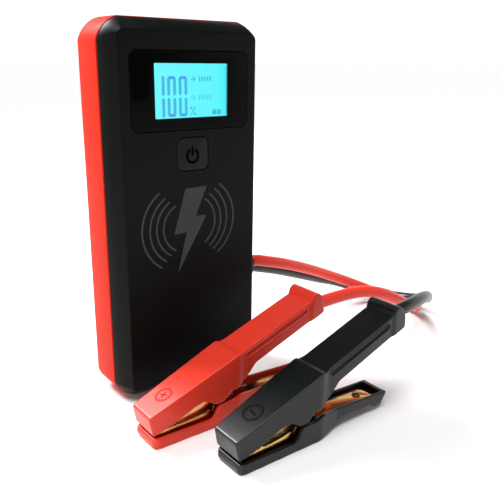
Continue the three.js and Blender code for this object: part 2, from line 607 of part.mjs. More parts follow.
function makeClamp(colour, [x, y], grip) {
  const clamp = new THREE.Group();
  clamp.position.set(x, y, 0);
  group.add(clamp);
  node(clamp, `${colour}_upper_cover`, upperCover(), grip);
  node(clamp, `${colour}_lower_cover`, lowerCover(), grip);
  node(clamp, `${colour}_upper_jaw`, upperJaw(), BRASS);
  node(clamp, `${colour}_lower_jaw`, lowerJaw(), BRASS);
  node(clamp, `${colour}_pivot_pin`, pivotPin(), STEEL);
  node(clamp, `${colour}_spring`, spring(), STEEL);
  node(clamp, `${colour}_upper_rivet`, rivet(UPPER_RIVET_Z, 1.5, -LEVER_TILT), STEEL);
  node(clamp, `${colour}_lower_rivet`, rivet(6.3, 1.95), STEEL);
  node(clamp, `${colour}_cable_lug`, cableLug(), COPPER);
}

makeCase();
makeDisplay();
makeButton();
makeElectrics();
makeLeads();
makeClamp('red', RED_CLAMP, RED_GRIP);
makeClamp('black', BLACK_CLAMP, BLACK_GRIP);

export default group;
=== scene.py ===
"""Looks of a jump starter pack with two clamps on short leads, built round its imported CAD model.

Shapes are made in millimetres, in the CAD's own frame, and become metres when a piece is finished.
The pack stands at the origin with its display towards -Y. The clamps lie in front of it.
"""

import math

import bmesh
import bpy
from mathutils import Matrix, Vector


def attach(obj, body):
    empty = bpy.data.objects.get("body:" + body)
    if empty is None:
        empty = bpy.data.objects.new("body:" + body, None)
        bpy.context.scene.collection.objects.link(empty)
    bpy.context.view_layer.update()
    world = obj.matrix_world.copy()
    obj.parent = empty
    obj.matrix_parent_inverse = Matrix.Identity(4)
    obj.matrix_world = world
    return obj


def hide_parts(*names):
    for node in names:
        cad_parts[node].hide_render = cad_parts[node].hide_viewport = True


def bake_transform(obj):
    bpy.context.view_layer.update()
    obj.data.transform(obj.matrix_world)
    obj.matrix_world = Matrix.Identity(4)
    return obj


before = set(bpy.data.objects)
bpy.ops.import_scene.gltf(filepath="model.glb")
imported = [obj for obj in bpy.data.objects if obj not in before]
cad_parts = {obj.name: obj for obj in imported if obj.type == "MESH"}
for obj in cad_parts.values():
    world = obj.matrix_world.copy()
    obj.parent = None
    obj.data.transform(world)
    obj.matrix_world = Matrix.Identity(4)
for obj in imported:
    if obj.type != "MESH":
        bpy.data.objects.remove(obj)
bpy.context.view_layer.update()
MM = 0.001

# ------------------------------------------------------------------ camera

CAMERA_PLACE = (-0.17086, -0.27976, 0.17300)
CAMERA_RIGHT = (0.78809, -0.61544, 0.01237)
CAMERA_UP = (0.16955, 0.23634, 0.95675)
CAMERA_LENS = 44.9


def make_camera():
    data = bpy.data.cameras.new("camera")
    data.lens = CAMERA_LENS
    data.sensor_width = 36
    data.clip_start = 0.01
    data.clip_end = 50
    camera = bpy.data.objects.new("camera", data)
    right, up = Vector(CAMERA_RIGHT).normalized(), Vector(CAMERA_UP).normalized()
    back = right.cross(up)
    turn = Matrix((right, up, back)).transposed().to_4x4()
    camera.matrix_world = Matrix.Translation(CAMERA_PLACE) @ turn
    bpy.context.scene.collection.objects.link(camera)
    bpy.context.scene.camera = camera


# ------------------------------------------------------------------ outlines and paths


def rounded_rect(width, height, radius, centre=(0, 0), steps=8):
    """A rounded rectangle's points, anticlockwise, the same number for any size."""
    points = []
    for k, (sx, sy) in enumerate(((1, -1), (1, 1), (-1, 1), (-1, -1))):
        cx = centre[0] + sx * (width / 2 - radius)
        cy = centre[1] + sy * (height / 2 - radius)
        for i in range(steps + 1):
            angle = math.pi / 2 * (k - 1 + i / steps)
            points.append((cx + radius * math.cos(angle), cy + radius * math.sin(angle)))
    return points


def eased(outline, radius, steps=4):
    """An outline with each corner rounded off, by at most half of the shorter side next to it."""
    result = []
    count = len(outline)
    for i, corner in enumerate(outline):
        here = Vector(corner)
        before, after = Vector(outline[i - 1]) - here, Vector(outline[(i + 1) % count]) - here
        reach = min(radius, before.length * 0.45, after.length * 0.45)
        first, last = here + before.normalized() * reach, here + after.normalized() * reach
        for k in range(steps + 1):
            t = k / steps
            result.append(tuple(first * (1 - t) ** 2 + here * 2 * t * (1 - t) + last * t * t))
    return result


def stroke(points, width, cap=5):
    """The outline of a pen stroke along a line of points, with round ends."""
    points = [Vector(p) for p in points]
    left, right = [], []
    for i, p in enumerate(points):
        ahead = points[min(i + 1, len(points) - 1)] - points[max(i - 1, 0)]
        side = Vector((-ahead.y, ahead.x)).normalized() * width / 2
        left.append(p + side)
        right.append(p - side)

    def half_circle(centre, start):
        arm = start - centre
        turns = [Matrix.Rotation(-math.pi * k / cap, 2) for k in range(1, cap)]
        return [centre + turn @ arm for turn in turns]

    end = half_circle(points[-1], left[-1])
    start = half_circle(points[0], right[0])
    return [tuple(p) for p in left + end + right[::-1] + start]


def arc_through(a, b, c):
    """Points on the circle through three points, from the first to the last."""
    (ax, ay), (bx, by), (cx, cy) = a, b, c
    d = 2 * (ax * (by - cy) + bx * (cy - ay) + cx * (ay - by))
    a2, b2, c2 = ax * ax + ay * ay, bx * bx + by * by, cx * cx + cy * cy
    ux = (a2 * (by - cy) + b2 * (cy - ay) + c2 * (ay - by)) / d
    uy = (a2 * (cx - bx) + b2 * (ax - cx) + c2 * (bx - ax)) / d
    radius = math.hypot(ax - ux, ay - uy)
    start, middle, end = (math.atan2(y - uy, x - ux) for x, y in (a, b, c))
    turn = (end - start) % (2 * math.pi)
    if (middle - start) % (2 * math.pi) > turn:
        turn -= 2 * math.pi
    angles = [start + turn * i / 24 for i in range(25)]
    return [(ux + radius * math.cos(t), uy + radius * math.sin(t)) for t in angles]


def smooth_path(points, steps=12):
    """A centripetal Catmull-Rom curve through points, the curve that the CAD's tubes follow."""
    p = [Vector(q) for q in points]
    p = [2 * p[0] - p[1], *p, 2 * p[-1] - p[-2]]
    path = []
    for i in range(1, len(p) - 2):
        gaps = [max((p[i + k] - p[i + k - 1]).length ** 0.5, 1e-6) for k in range(3)]
        before, along, after = (p[i + k] - p[i + k - 1] for k in range(3))
        span = p[i + 1] - p[i]
        leave = (before / gaps[0] - (before + along) / (gaps[0] + gaps[1]) + along / gaps[1]) * gaps[1]
        meet = (along / gaps[1] - (along + after) / (gaps[1] + gaps[2]) + after / gaps[2]) * gaps[1]
        for k in range(steps):
            t = k / steps
            path.append(p[i] + leave * t + (3 * span - 2 * leave - meet) * t ** 2
                        + (leave + meet - 2 * span) * t ** 3)
    path.append(p[-2])
    return path


# ------------------------------------------------------------------ solids, in millimetres

END_RING = 0.75


def solid(points, faces):
    """A closed mesh as an object, with its faces turned outwards."""
    mesh = bpy.data.meshes.new("solid")
    mesh.from_pydata([tuple(p) for p in points], [], faces)
    bm = bmesh.new()
    bm.from_mesh(mesh)
    bmesh.ops.recalc_face_normals(bm, faces=bm.faces)
    bm.to_mesh(mesh)
    bm.free()
    thing = bpy.data.objects.new("solid", mesh)
    bpy.context.scene.collection.objects.link(thing)
    return thing


def loft(rings):
    """A solid through rings of points, the same number in each."""
    n = len(rings[0])
    faces = [tuple(range(n)), tuple(range((len(rings) - 1) * n, len(rings) * n))]
    for k in range(len(rings) - 1):
        for i in range(n):
            j = (i + 1) % n
            faces.append((k * n + i, k * n + j, (k + 1) * n + j, (k + 1) * n + i))
    return solid([p for ring in rings for p in ring], faces)


def at(axis, place, a, b):
    """A point from a place on an axis and the two other coordinates, in the order x, y, z."""
    return {"x": (place, a, b), "y": (a, place, b), "z": (a, b, place)}[axis]


def prism(outline, axis, low, high):
    return loft([[at(axis, place, a, b) for a, b in outline] for place in (low, high)])


def box(low, high):
    size = [b - a for a, b in zip(low, high)]
    corner = [(0, 0), (size[0], 0), (size[0], size[1]), (0, size[1])]
    return prism([(low[0] + a, low[1] + b) for a, b in corner], "z", low[2], high[2])


def rod(axis, low, high, centre, radius, sides=48):
    turn = [2 * math.pi * i / sides for i in range(sides)]
    ring = [(centre[0] + radius * math.cos(t), centre[1] + radius * math.sin(t)) for t in turn]
    return prism(ring, axis, low, high)


def turned(profile, axis, centre, sides, tilt=0.0):
    """A round solid from (radius, place) pairs along an axis through a centre, tilted about Y."""
    lean = Matrix.Rotation(tilt, 3, "Y")
    rings = []
    for radius, place in profile:
        ring = []
        for i in range(sides):
            t = 2 * math.pi * i / sides
            spot = Vector(at(axis, place, radius * math.cos(t), radius * math.sin(t)))
            ring.append(Vector(centre) + lean @ spot)
        rings.append(ring)
    return loft(rings)


def tube(path, radius, sides=28):
    """A round tube along a path. An inner ring on each flat end keeps its shading flat."""
    last = len(path) - 1
    turn = [2 * math.pi * k / sides for k in range(sides)]
    tangents = [(path[min(i + 1, last)] - path[max(i - 1, 0)]).normalized() for i in range(last + 1)]
    side = tangents[0].orthogonal().normalized()
    rings = []
    for i, (centre, tangent) in enumerate(zip(path, tangents)):
        side = (side - tangent * side.dot(tangent)).normalized()
        other = tangent.cross(side)
        arms = [side * radius * math.cos(t) + other * radius * math.sin(t) for t in turn]
        end = [centre + arm * END_RING for arm in arms]
        if i == 0:
            rings.append(end)
        rings.append([centre + arm for arm in arms])
        if i == last:
            rings.append(end)
    return loft(rings)


def keep_modifiers(thing):
    """Puts an object's modifiers into its mesh."""
    graph = bpy.context.evaluated_depsgraph_get()
    mesh = bpy.data.meshes.new_from_object(thing.evaluated_get(graph))
    thing.modifiers.clear()
    old = thing.data
    thing.data = mesh
    bpy.data.meshes.remove(old)
    return thing


def combined(operation, base, tools):
    for tool in tools:
        step = base.modifiers.new(operation, "BOOLEAN")
        step.operation = operation
        step.solver = "EXACT"
        step.object = tool
        keep_modifiers(base)
        bpy.data.objects.remove(tool)
    return base


def join(base, *tools):
    return combined("UNION", base, tools)


def cut(base, *tools):
    return combined("DIFFERENCE", base, tools)


def common(base, *tools):
    return combined("INTERSECT", base, tools)


def softened(thing, voxel, passes, kept_share):
    """A moulded look: the solid is remeshed finely, its edges are worn round, and the mesh is thinned."""
    remesh = thing.modifiers.new("remesh", "REMESH")
    remesh.mode = "VOXEL"
    remesh.voxel_size = voxel
    smooth = thing.modifiers.new("smooth", "SMOOTH")
    smooth.factor = 0.5
    smooth.iterations = passes
    thin = thing.modifiers.new("thin", "DECIMATE")
    thin.ratio = kept_share
    return keep_modifiers(thing)


def chamfered(thing, width, segments=3, angle=35):
    bm = bmesh.new()
    bm.from_mesh(thing.data)
    bmesh.ops.remove_doubles(bm, verts=bm.verts, dist=1e-4)
    bmesh.ops.dissolve_limit(bm, angle_limit=math.radians(1), verts=bm.verts, edges=bm.edges)
    bm.to_mesh(thing.data)
    bm.free()
    bevel = thing.modifiers.new("edges", "BEVEL")
    bevel.width = width
    bevel.segments = segments
    bevel.limit_method = "ANGLE"
    bevel.angle_limit = math.radians(angle)
    return keep_modifiers(thing)


def node_solid(node):
    """A CAD node's mesh as a fresh solid in millimetres."""
    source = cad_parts[node]
    mesh = source.data.copy()
    mesh.transform(source.matrix_world)
    mesh.transform(Matrix.Scale(1 / MM, 4))
    mesh.materials.clear()
    thing = bpy.data.objects.new("solid", mesh)
    bpy.context.scene.collection.objects.link(thing)
    return thing


def piece(thing, name, finish, body="root", replaces=(), angle=32, offset=(0, 0, 0)):
    """Finishes a solid: metres, name, material, shading, and the body that it rides on."""
    thing.name = name
    thing.data.name = name
    thing.data.transform(Matrix.Translation(offset))
    thing.data.transform(Matrix.Scale(MM, 4))
    thing.data.materials.clear()
    thing.data.materials.append(finish)
    thing.data.shade_smooth()
    thing.data.set_sharp_from_angle(angle=math.radians(angle))
    if body:
        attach(thing, body)
    if replaces:
        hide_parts(*replaces)
    return thing


# ------------------------------------------------------------------ materials


def srgb(red, green, blue):
    """A linear colour from 0-255 display values."""
    values = [v / 255 for v in (red, green, blue)]
    return tuple(v / 12.92 if v <= 0.04045 else ((v + 0.055) / 1.055) ** 2.4 for v in values) + (1.0,)


class Nodes:
    """A material's nodes, with short ways to add and link them."""

    def __init__(self, name):
        self.material = bpy.data.materials.new(name)
        self.material.use_nodes = True
        self.tree = self.material.node_tree
        self.shader = self.tree.nodes["Principled BSDF"]
        self.coordinates = self.add("ShaderNodeTexCoord").outputs["Object"]

    def add(self, kind, **settings):
        node = self.tree.nodes.new(kind)
        for key, value in settings.items():
            setattr(node, key, value)
        return node

    def link(self, output, target):
        self.tree.links.new(output, target)

    def noise(self, scale, detail=2.0, roughness=0.5, stretch=None):
        node = self.add("ShaderNodeTexNoise")
        node.inputs["Scale"].default_value = scale
        node.inputs["Detail"].default_value = detail
        node.inputs["Roughness"].default_value = roughness
        source = self.coordinates
        if stretch:
            mapping = self.add("ShaderNodeMapping")
            mapping.inputs["Scale"].default_value = stretch
            self.link(source, mapping.inputs["Vector"])
            source = mapping.outputs["Vector"]
        self.link(source, node.inputs["Vector"])
        return node.outputs["Fac"]

    def spread(self, value, low, high, start=0.35, end=0.65):
        node = self.add("ShaderNodeMapRange")
        node.inputs["From Min"].default_value = start
        node.inputs["From Max"].default_value = end
        node.inputs["To Min"].default_value = low
        node.inputs["To Max"].default_value = high
        self.link(value, node.inputs["Value"])
        return node.outputs["Result"]

    def mix(self, factor, first, second):
        node = self.add("ShaderNodeMix", data_type="RGBA")
        self.link(factor, node.inputs["Factor"])
        for value, socket in ((first, node.inputs[6]), (second, node.inputs[7])):
            if isinstance(value, tuple):
                socket.default_value = value
            else:
                self.link(value, socket)
        return node.outputs[2]

    def bump(self, height, distance, strength=1.0, below=None):
        node = self.add("ShaderNodeBump")
        node.inputs["Strength"].default_value = strength
        node.inputs["Distance"].default_value = distance
        self.link(height, node.inputs["Height"])
        if below is not None:
            self.link(below, node.inputs["Normal"])
        return node.outputs["Normal"]

    def set(self, **values):
        for key, value in values.items():
            self.shader.inputs[key.replace("_", " ")].default_value = value


def scaled(colour, factor):
    return tuple(min(c * factor, 1.0) for c in colour[:3]) + (1.0,)


def moulded(name, colour, rough, specular, grain, relief, mottle, spread=0.05):
    """Moulded plastic or rubber: spark-eroded grain, slow colour change and uneven gloss."""
    n = Nodes(name)
    slow = n.spread(n.noise(28.0, 3.0), 0.0, 1.0)
    body = n.mix(slow, scaled(colour, 1 - mottle), scaled(colour, 1 + mottle))
    n.link(body, n.shader.inputs["Base Color"])
    gloss = n.spread(n.noise(190.0, 4.0, 0.6), rough - spread, rough + spread)
    n.link(gloss, n.shader.inputs["Roughness"])
    fine = n.noise(grain, 2.0, 0.55)
    handled = n.noise(420.0, 3.0, 0.6)
    soft = n.bump(handled, relief * 0.8, 0.35)
    n.link(n.bump(fine, relief, 0.6, soft), n.shader.inputs["Normal"])
    n.set(Specular_IOR_Level=specular)
    return n.material


def metal(name, colour, rough, stretch, relief, stain, spread=0.08):
    """Rolled or plated metal: scratches drawn out along the smallest stretch, and faint stains."""
    n = Nodes(name)
    stains = n.spread(n.noise(95.0, 4.0, 0.65), 0.0, stain)
    n.link(n.mix(stains, colour, scaled(colour, 0.45)), n.shader.inputs["Base Color"])
    scratches = n.noise(160.0, 3.0, 0.6, stretch)
    n.link(n.spread(scratches, rough - spread, rough + spread), n.shader.inputs["Roughness"])
    n.link(n.bump(scratches, relief, 0.5), n.shader.inputs["Normal"])
    n.set(Metallic=1.0)
    return n.material


def polished(name, colour, rough, transmission=0.0, smudge=0.05, specular=0.5, bend=1.49):
    """Acrylic or glass: a clean gloss with faint finger smudges."""
    n = Nodes(name)
    n.set(Base_Color=colour, Transmission_Weight=transmission, IOR=bend, Specular_IOR_Level=specular)
    prints = n.noise(75.0, 4.0, 0.6)
    n.link(n.spread(prints, rough, rough + smudge), n.shader.inputs["Roughness"])
    n.link(n.bump(prints, 0.00001, 0.2), n.shader.inputs["Normal"])
    return n.material


def lit(name, left, right, grid=0.1):
    """A lit panel whose colour changes across X, with a faint grid of cells."""
    n = Nodes(name)
    split = n.add("ShaderNodeSeparateXYZ")
    n.link(n.coordinates, split.inputs["Vector"])
    across = n.spread(split.outputs["X"], 0.0, 1.0, -LIT_REACH, LIT_REACH)
    colour = n.mix(across, left, right)
    cells = n.add("ShaderNodeTexWave")
    cells.inputs["Scale"].default_value = 420.0
    n.link(n.coordinates, cells.inputs["Vector"])
    shade = n.spread(cells.outputs["Fac"], 1 - grid, 1.0, 0.0, 1.0)
    dim = n.add("ShaderNodeMix", data_type="RGBA", blend_type="MULTIPLY")
    dim.inputs["Factor"].default_value = 1.0
    n.link(colour, dim.inputs[6])
    n.link(shade, dim.inputs[7])
    n.link(dim.outputs[2], n.shader.inputs["Emission Color"])
    n.set(Base_Color=(0.01, 0.02, 0.02, 1.0), Emission_Strength=1.0, Roughness=0.4)
    return n.material


RED = (0.87, 0.052, 0.028, 1.0)
LIT_REACH = 0.022

FINISH = {
    "red_case": moulded("red_case_finish", (0.57, 0.025, 0.01, 1.0), 0.42, 0.03, 1900.0, 0.00001, 0.03),
    "black_case": moulded("black_case_finish", srgb(7, 9, 9), 0.4, 0.09, 2400.0, 0.00001, 0.1),
    "window": polished("window_finish", srgb(5, 5, 6), 0.05, specular=0.05),
    "pane": polished("pane_finish", (0.94, 0.98, 1.0, 1.0), 0.02, 1.0, 0.02, 0.1, 1.15),
    "lcd": lit("lcd_finish", (0.155, 0.96, 1.05, 1.0), (0.08, 0.91, 0.99, 1.0), 0.06),
    "digit": lit("digit_finish", (0.045, 0.43, 0.76, 1.0), (0.045, 0.43, 0.76, 1.0)),
    "cap": lit("digit_cap_finish", (0.045, 0.36, 0.8, 1.0), (0.045, 0.36, 0.8, 1.0)),
    "sign": lit("sign_finish", (0.05, 0.5, 0.7, 1.0), (0.04, 0.46, 0.66, 1.0)),
    "faint": lit("faint_mark_finish", (0.06, 0.7, 0.84, 1.0), (0.05, 0.66, 0.8, 1.0)),
    "diffuser": polished("diffuser_finish", srgb(236, 240, 242), 0.3, 0.3, 0.1),
    "button": moulded("button_finish", srgb(15, 16, 16), 0.38, 0.16, 2300.0, 0.00001, 0.05),
    "symbol": moulded("symbol_finish", srgb(2, 2, 2), 0.5, 0.02, 2300.0, 0.00001, 0.05),
    "print": moulded("print_finish", srgb(57, 60, 58), 0.45, 0.12, 3200.0, 0.00001, 0.1),
    "boot": moulded("boot_finish", srgb(18, 18, 19), 0.55, 0.3, 1500.0, 0.00004, 0.12),
    "red_grip": moulded("red_grip_finish", scaled(RED, 0.78), 0.3, 0.28, 1500.0, 0.000004, 0.03, 0.02),
    "black_grip": moulded("black_grip_finish", srgb(5, 6, 8), 0.33, 0.42, 1500.0, 0.000004, 0.05, 0.02),
    # The polarity marks' colours are painted shade: darker than their grips, to stand for the shade
    # inside engraved grooves.
    "red_mark": moulded("red_mark_painted_shade", (0.4, 0.012, 0.01, 1.0), 0.6, 0.1, 1500.0, 0.00002, 0.05),
    "black_mark": moulded("black_mark_painted_shade", srgb(3, 3, 4), 0.6, 0.1, 1500.0, 0.00002, 0.05),
    "red_jacket": moulded(
        "red_jacket_finish", scaled(RED, 0.86), 0.34, 0.22, 900.0, 0.000008, 0.04, 0.02),
    "black_jacket": moulded(
        "black_jacket_finish", srgb(22, 23, 25), 0.32, 0.4, 900.0, 0.000008, 0.08, 0.02),
    "jaw_metal": metal(
        "jaw_metal_finish", (0.82, 0.5, 0.17, 1.0), 0.2, (2.0, 30.0, 30.0), 0.000006, 0.3, 0.05),
    "rivet_metal": metal(
        "rivet_metal_finish", (0.4, 0.17, 0.09, 1.0), 0.25, (8.0, 8.0, 8.0), 0.000006, 0.3),
    "steel": metal("steel_finish", srgb(198, 200, 203), 0.24, (12.0, 12.0, 1.0), 0.000006, 0.2),
    "copper": metal("copper_finish", srgb(200, 122, 82), 0.3, (1.0, 12.0, 12.0), 0.00001, 0.3),
    "board": moulded("board_finish", srgb(22, 86, 52), 0.45, 0.5, 1200.0, 0.00002, 0.15),
    "cell": metal("cell_finish", srgb(188, 191, 195), 0.4, (1.0, 6.0, 6.0), 0.00008, 0.15),
    "foam": moulded("foam_finish", srgb(84, 87, 90), 0.95, 0.3, 1500.0, 0.0002, 0.2),
    "ferrite": moulded("ferrite_finish", srgb(44, 42, 41), 0.7, 0.3, 1300.0, 0.00005, 0.15),
    "lens": polished("lens_finish", (0.95, 0.98, 1.0, 1.0), 0.04, 0.9),
}

# ------------------------------------------------------------------ pack: sizes, as in the CAD

WIDTH, HEIGHT, THICK = 90.0, 192.0, 31.0
FRONT, BACK = -THICK / 2, THICK / 2
GAP = 0.3
CORNER = 11.0
FLATTEN = 0.35
EDGE_INSET, EDGE_DEPTH = 6.1, 9.0
SEAM = FRONT + EDGE_DEPTH
RIM = 0.4
WALL, FRONT_WALL, BACK_WALL = 2.0, 2.6, 2.2
WINDOW = {"w": 67.1, "h": 37.4, "r": 4.0, "t": 1.5, "z": 158.5}
LIT = {"left": -20.8, "right": 21.0, "low": 145.8, "high": 171.4}
LCD_FRONT = FRONT + FRONT_WALL + GAP
BUTTON = {"w": 18.1, "h": 16.5, "r": 3.4, "z": 127.8}
SCREW_SEAT = 3.2
SCREWS = [(x, z) for x in (-36.0, 36.0) for z in (12.0, 180.0)]
BOARD_BACK = -5.6
USB_A = {"x": -18.0, "w": 13.0, "h": 5.6, "r": 0.8}
USB_C = {"x": 2.0, "w": 9.0, "h": 3.4, "r": 1.6}
TORCH = {"x": 22.0, "y": 4.5, "r": 5.0}
BOOT = {
    "y": 6.8, "z": 54.3, "base": (14.8, 15.4), "end": (14.2, 14.6), "corner": 5.4, "grooves": (3.2, 5.2),
    "out": 52.4, "hole": (11.0, 11.6), "hole_corner": 3.0}


def case_ring(y, inset, tighten=1.0, steps=10):
    """The case's outline at a depth, set in from its sides. Its corners tighten as it comes in.

    Each corner is flatter than a plain arc: its points lie part of the way to the arc's chord.
    """
    radius = max(CORNER - tighten * inset, 2.4)
    flat = rounded_rect(WIDTH - 2 * inset, HEIGHT - 2 * inset, radius, (0, HEIGHT / 2), steps)
    ring = []
    for corner in range(4):
        arc = [Vector(p) for p in flat[corner * (steps + 1):(corner + 1) * (steps + 1)]]
        along = (arc[-1] - arc[0]).normalized()
        for p in arc:
            foot = arc[0] + along * (p - arc[0]).dot(along)
            ring.append(p.lerp(foot, FLATTEN))
    return [(x, y, z) for x, z in ring]


def front_slope(share):
    """How far the front edge is set in, for a share of its depth."""
    curve = 0.55 * (1 - math.sin(share * math.pi / 2)) + 0.45 * (1 - share)
    return RIM + (EDGE_INSET - RIM) * curve


def make_front():
    crease = [(0.0, EDGE_INSET + 0.55), (0.035, EDGE_INSET + 0.22), (0.16, EDGE_INSET - 0.1)]
    slope = [(EDGE_DEPTH * s / 18, front_slope(s / 18)) for s in range(1, 18)]
    foot = [(EDGE_DEPTH - 0.25, RIM), (EDGE_DEPTH - 0.06, RIM + 0.07), (EDGE_DEPTH, RIM + 0.25)]
    shell = loft([case_ring(FRONT + y, inset, 1.4) for y, inset in crease + slope + foot])
    inside = loft([
        case_ring(FRONT + FRONT_WALL, 7.2), case_ring(FRONT + 6, 4.2), case_ring(SEAM + 1, RIM + WALL)])
    lip = cut(
        loft([case_ring(SEAM - 2.4, WALL + GAP), case_ring(SEAM + 2, WALL + GAP)]),
        loft([case_ring(SEAM - 3, WALL + GAP + 1.2), case_ring(SEAM + 3, WALL + GAP + 1.2)]),
        box((-27, SEAM + 0.5, HEIGHT - 8), (9, SEAM + 4, HEIGHT - WALL)))
    seat = rounded_rect(WINDOW["w"] + 2 * GAP, WINDOW["h"] + 2 * GAP, WINDOW["r"] + GAP, (0, WINDOW["z"]))
    hole = rounded_rect(BUTTON["w"] + 2 * GAP, BUTTON["h"] + 2 * GAP, BUTTON["r"] + GAP, (0, BUTTON["z"]))
    opening = rounded_rect(44, 28, 1, (0, 158.6))
    shell = join(cut(shell, inside), lip)
    shell = cut(
        shell, prism(seat, "y", FRONT - 1, FRONT + WINDOW["t"] + GAP),
        prism(opening, "y", FRONT, FRONT + FRONT_WALL + 1),
        prism(hole, "y", FRONT - 1, FRONT + FRONT_WALL + 1))
    piece(shell, "case_front", FINISH["black_case"], replaces=["front_shell"])


def make_back():
    rim = [(SEAM + GAP, 0.32), (SEAM + GAP + 0.12, 0.08), (SEAM + GAP + 0.4, 0.0)]
    curve = [math.pi / 2 * i / 8 for i in range(9)]
    edge = [(BACK - 3 + 3 * math.sin(t), 3 * (1 - math.cos(t))) for t in curve]
    shell = loft([case_ring(y, inset) for y, inset in rim + edge])
    inside = loft([
        case_ring(SEAM - 1, WALL), case_ring(BACK - BACK_WALL - 1, WALL),
        case_ring(BACK - BACK_WALL, WALL + 1)])
    shell = cut(shell, inside)
    for place in SCREWS:
        shell = join(shell, rod("y", 2, BACK - 1, place, 3.3))
        head_room = rod("y", BACK - SCREW_SEAT, BACK + 1, place, 2.9)
        shell = cut(shell, rod("y", 1, BACK + 1, place, 1.6), head_room)
    for port in (USB_A, USB_C):
        w, h = port["w"] + 2 * GAP, port["h"] + 2 * GAP
        centre = (port["x"], BOARD_BACK + GAP + port["h"] / 2)
        slot = rounded_rect(w, h, port["r"] + GAP, centre)
        shell = cut(shell, prism(slot, "z", HEIGHT - WALL - 1, HEIGHT + 1))
    torch = rod("z", HEIGHT - WALL - 1, HEIGHT + 1, (TORCH["x"], TORCH["y"]), TORCH["r"] + GAP, 64)
    hole = rounded_rect(*BOOT["hole"], BOOT["hole_corner"], (BOOT["y"], BOOT["z"]))
    neck = prism(hole, "x", WIDTH / 2 - 4, WIDTH / 2 + 1)
    shell = cut(shell, torch, neck)
    piece(shell, "case_back", FINISH["red_case"], replaces=["rear_shell"])


def make_window():
    outline = rounded_rect(WINDOW["w"], WINDOW["h"], WINDOW["r"], (0, WINDOW["z"]), 12)
    plate = chamfered(prism(outline, "y", FRONT, FRONT + WINDOW["t"]), 0.3)
    x, z = (LIT["left"] + LIT["right"]) / 2, (LIT["low"] + LIT["high"]) / 2
    w, h = LIT["right"] - LIT["left"], LIT["high"] - LIT["low"]
    play = 0.02
    plate = cut(plate, prism(rounded_rect(w, h, 0.5, (x, z), 4), "y", FRONT - 1, FRONT + 3))
    piece(plate, "window_frame", FINISH["window"], replaces=["display_window"])
    inner = rounded_rect(w - 2 * play, h - 2 * play, 0.5, (x, z), 4)
    pane = prism(inner, "y", FRONT + play, FRONT + WINDOW["t"] - play)
    piece(pane, "window_pane", FINISH["pane"])


def make_reading():
    """A seven-segment 100, a per cent sign and a few plain bars on the lit panel."""
    back, front = LCD_FRONT - 0.02, LCD_FRONT - 0.2
    low, high = 146.3, 165.4
    middle = (low + high) / 2
    pen, notch, gap = 1.4, 0.25, 1.15
    inset = pen / 2
    spans, caps = [], []
    for left in (-12.4, -6.0):
        right = left + 4.7
        for x in (left + inset, right - inset):
            spans.append([(x, low + inset + notch), (x, middle - gap)])
            spans.append([(x, middle + gap), (x, high - inset - notch)])
        for z in (low + inset, high - inset):
            caps.append([(left + inset + notch, z), (right - inset - notch, z)])
    one = -14.7
    spans += [[(one, low + 0.4), (one, middle - gap)], [(one, middle + gap), (one, high - 0.4)]]
    marks = [(stroke(span, pen, 2), "digit") for span in spans]
    marks += [(stroke(span, pen, 2), "cap") for span in caps]
    for z, kind in ((164.0, "sign"), (155.2, "faint")):
        arrow = [(1.1, z), (3.1, z)]
        head = [(2.3, z + 1.0), (3.4, z), (2.3, z - 1.0)]
        bars = [[(x, z - 0.9), (x, z + 0.9)] for x in (6.0, 7.6, 9.2, 10.8, 12.4)]
        marks += [(stroke(line, 0.5, 3), kind) for line in (arrow, head)]
        marks += [(stroke(line, 0.7, 3), kind) for line in bars]
    slash = [(1.0, 146.8), (3.2, 150.8)]
    rings = [rounded_rect(1.1, 1.3, 0.5, place, 4) for place in ((1.1, 150.3), (3.1, 147.3))]
    marks += [(stroke(slash, 0.45, 3), "sign")] + [(ring, "sign") for ring in rings]
    marks += [(rounded_rect(2.2, 2.4, 0.4, (x, 147.8), 4), "sign") for x in (14.8, 17.6)]
    for kind in ("digit", "cap", "sign", "faint"):
        chosen = [prism(outline, "y", front, back) for outline, mark in marks if mark == kind]
        piece(joined(chosen), f"reading_{kind}", FINISH[kind])


def joined(things):
    """Separate solids as one object."""
    first = things[0]
    bm = bmesh.new()
    for thing in things:
        bm.from_mesh(thing.data)
    bm.to_mesh(first.data)
    bm.free()
    for thing in things[1:]:
        bpy.data.objects.remove(thing)
    return first


def make_button():
    outline = rounded_rect(BUTTON["w"], BUTTON["h"], BUTTON["r"], (0, BUTTON["z"]), 12)
    cap = chamfered(prism(outline, "y", FRONT, FRONT + 3), 0.55, 4)
    flange = rounded_rect(BUTTON["w"] + 2.8, BUTTON["h"] + 2.8, 5, (0, BUTTON["z"]), 8)
    inner = FRONT + FRONT_WALL + GAP
    cap = joined([cap, prism(flange, "y", inner, inner + 1.2)])
    piece(cap, "button_cap", FINISH["button"], "power_button", ["power_button"])
    centre = Vector((-0.3, BUTTON["z"] - 0.9))
    turn = [math.radians(125 + 290 * i / 40) for i in range(41)]
    ring = [tuple(centre + Vector((math.cos(t), math.sin(t))) * 3.3) for t in turn]
    bar = [tuple(centre + Vector((0, 0.6))), tuple(centre + Vector((0, 4.0)))]
    symbol = joined([prism(stroke(line, 1.5), "y", FRONT - 0.04, FRONT + 0.3) for line in (ring, bar)])
    piece(symbol, "button_symbol", FINISH["symbol"], "power_button")


